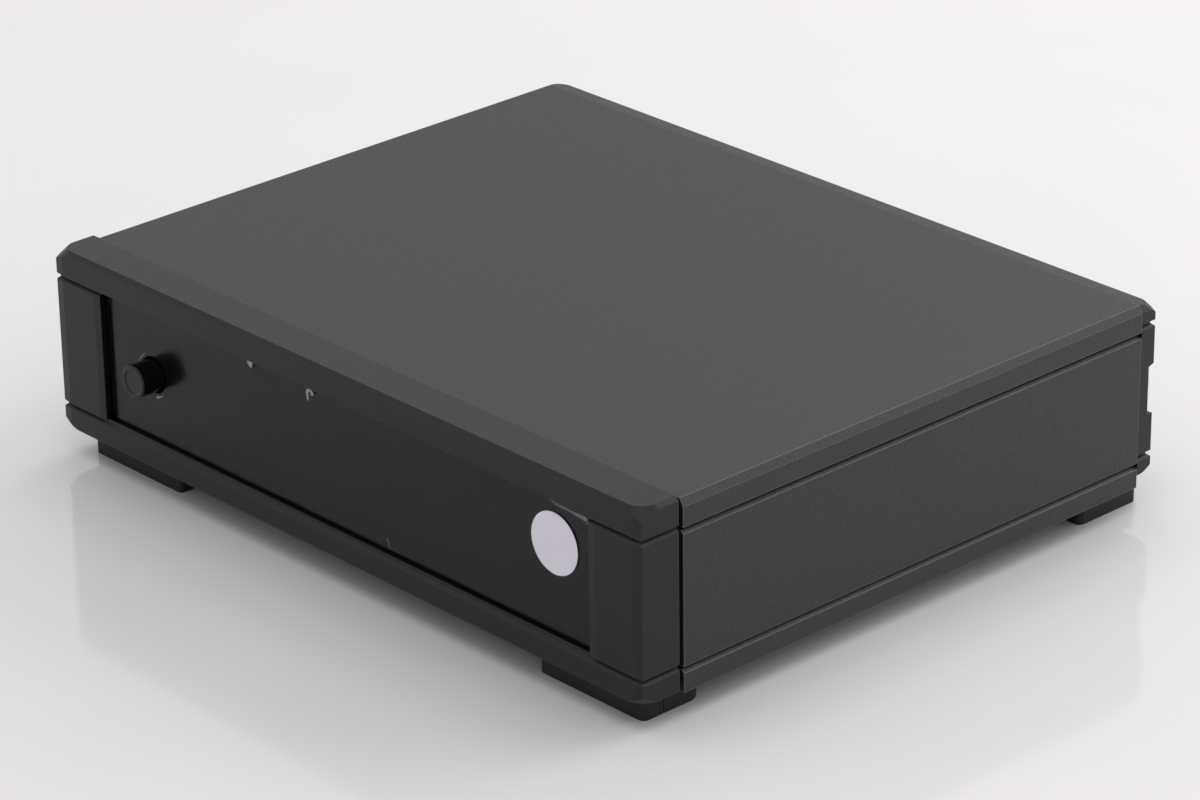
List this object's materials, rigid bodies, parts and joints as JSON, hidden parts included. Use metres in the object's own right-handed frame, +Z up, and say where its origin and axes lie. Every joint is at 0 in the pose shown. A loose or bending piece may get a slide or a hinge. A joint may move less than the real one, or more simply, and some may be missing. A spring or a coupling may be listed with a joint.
{
  "type": "phono preamp",
  "caption": "Half-width phono preamp: dark moulded case with a recessed gloss front panel and push button, and phono sockets, a ground post and a power inlet at the back.",
  "frame": {"origin": "middle of the footprint on the floor, from the button's tip to the sockets' ends", "axes": "+X to the right seen from the front, +Y from the front panel to the sockets, +Z up"},
  "size_m": [0.1808, 0.1578, 0.0477],
  "materials": {
    "bezel_moulding": "satin",
    "body_moulding": "fine texture",
    "panel_gloss": "polished",
    "film_clear": "clear",
    "sticker_white": "matt",
    "button_black": "satin",
    "foot_rubber": "matt",
    "rear_steel": "fine texture",
    "screw_black": "black oxide",
    "screw_zinc": "zinc plated",
    "brass": "turned",
    "gold_plate": "plated",
    "insulator_white": "matt",
    "block_black": "matt",
    "board_green": "satin",
    "plunger_ivory": "satin",
    "spring_steel": "drawn",
    "guide_clear": "clear",
    "lamp_white": "polished",
    "cap_sleeve": "sleeved",
    "film_cap_red": "dipped",
    "chip_black": "matt",
    "resistor_blue": "lacquered",
    "sink_black": "anodised"
  },
  "bodies": {
    "case": {"front_bezel": "bezel_moulding", "front_panel": "panel_gloss", "protective_film": "film_clear", "film_sticker": "sticker_white", "button_spring": "spring_steel", "power_switch": "block_black", "front_board": "board_green", "indicator_lamp": "lamp_white", "light_guide": "guide_clear", "board_header": "block_black", "top_cover": "body_moulding", "side_panel_left": "body_moulding", "side_panel_right": "body_moulding", "bottom_tray": "body_moulding", "rear_bezel": "bezel_moulding", "rear_panel": "rear_steel", "foot_front_left": "foot_rubber", "foot_front_right": "foot_rubber", "foot_rear_left": "foot_rubber", "foot_rear_right": "foot_rubber", "foot_screws": "screw_zinc", "cover_screws": "screw_black", "bezel_screws": "screw_black", "board_standoffs": "brass", "board_screws": "screw_zinc", "main_board": "board_green", "input_socket_block": "block_black", "input_socket_shells": "gold_plate", "input_socket_inserts": "insulator_white", "input_socket_contacts": "gold_plate", "output_socket_block": "block_black", "output_socket_shells": "gold_plate", "output_socket_inserts": "insulator_white", "output_socket_contacts": "gold_plate", "socket_screws": "screw_black", "ground_collar": "block_black", "ground_stud": "brass", "ground_lock_nut": "brass", "inlet_body": "block_black", "inlet_pin": "screw_zinc", "large_capacitors": "cap_sleeve", "small_capacitors": "cap_sleeve", "film_capacitors": "film_cap_red", "amplifier_chips": "chip_black", "gain_resistors": "resistor_blue", "voltage_regulator": "chip_black", "heat_sink": "sink_black", "muting_relay": "plunger_ivory"},
    "power_button": {"power_button": "button_black", "switch_plunger": "plunger_ivory"},
    "ground_washer": {"ground_washer": "gold_plate"},
    "ground_thumb_nut": {"ground_thumb_nut": "gold_plate"}
  },
  "joints": [
    {"name": "power_button_push", "type": "slide", "parent": "case", "child": "power_button", "axis": [0, 1, 0], "range_m": [0, 0.003], "stiffness_N_per_m": 400, "deforming": ["button_spring"]},
    {"name": "ground_washer_travel", "type": "slide", "parent": "case", "child": "ground_washer", "axis": [0, 1, 0], "range_m": [0, 0.0028]},
    {"name": "ground_nut_turn", "type": "hinge", "parent": "ground_washer", "child": "ground_thumb_nut", "pos_m": [0.04195, 0.07187, 0.0232], "axis": [0, 1, 0], "range_deg": [0, 1440]}
  ],
  "couplings": [
    {"joint": "ground_nut_turn", "follows": "ground_washer_travel", "rad_per_m": 8976}
  ]
}
